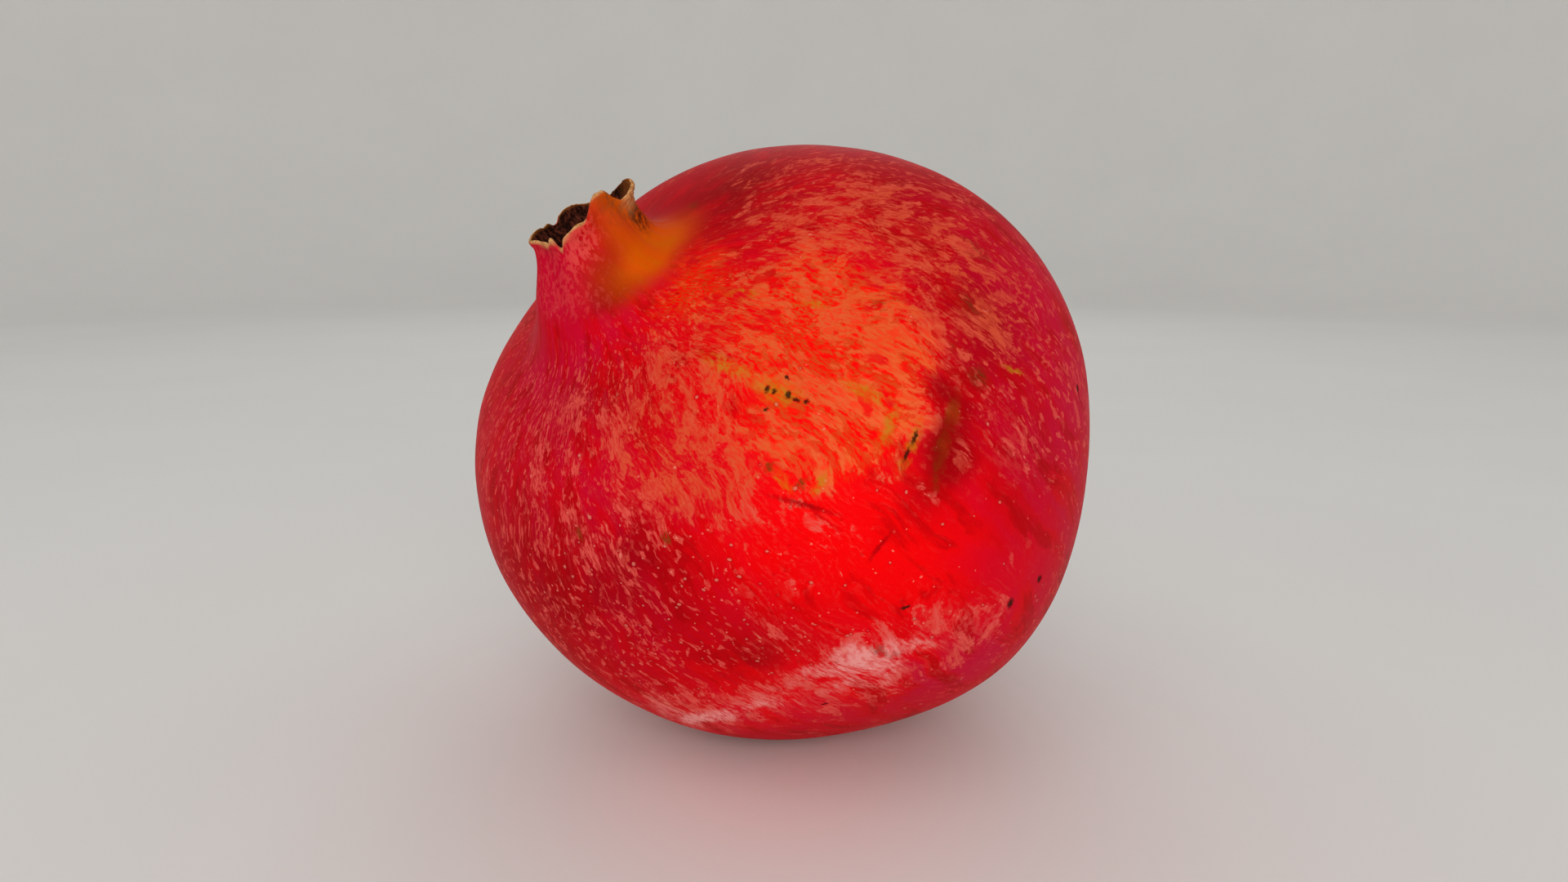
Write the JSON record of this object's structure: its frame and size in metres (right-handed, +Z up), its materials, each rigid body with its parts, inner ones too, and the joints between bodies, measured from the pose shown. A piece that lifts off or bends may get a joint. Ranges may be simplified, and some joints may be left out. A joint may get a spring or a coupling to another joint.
{
  "type": "pomegranate",
  "caption": "Whole ripe pomegranate lying on its side on a small flat spot, red leathery rind with soft ribs, short open dry calyx at the blossom end and a clipped stub at the stem end.",
  "frame": {"origin": "middle of the small flat spot that the fruit rests on", "axes": "+Z up; the fruit's own axis lies in the XZ plane with the calyx end up toward -X and the stem end down toward +X"},
  "size_m": [0.0901, 0.0943, 0.0884],
  "materials": {
    "rind": "waxy satin rind, crimson to orange red with pale fibrous mottling, browning to dry tan at the calyx rim",
    "dry_filaments": "matte, dry and brown"
  },
  "bodies": {
    "root": {"pomegranate": "rind"}
  },
  "joints": []
}
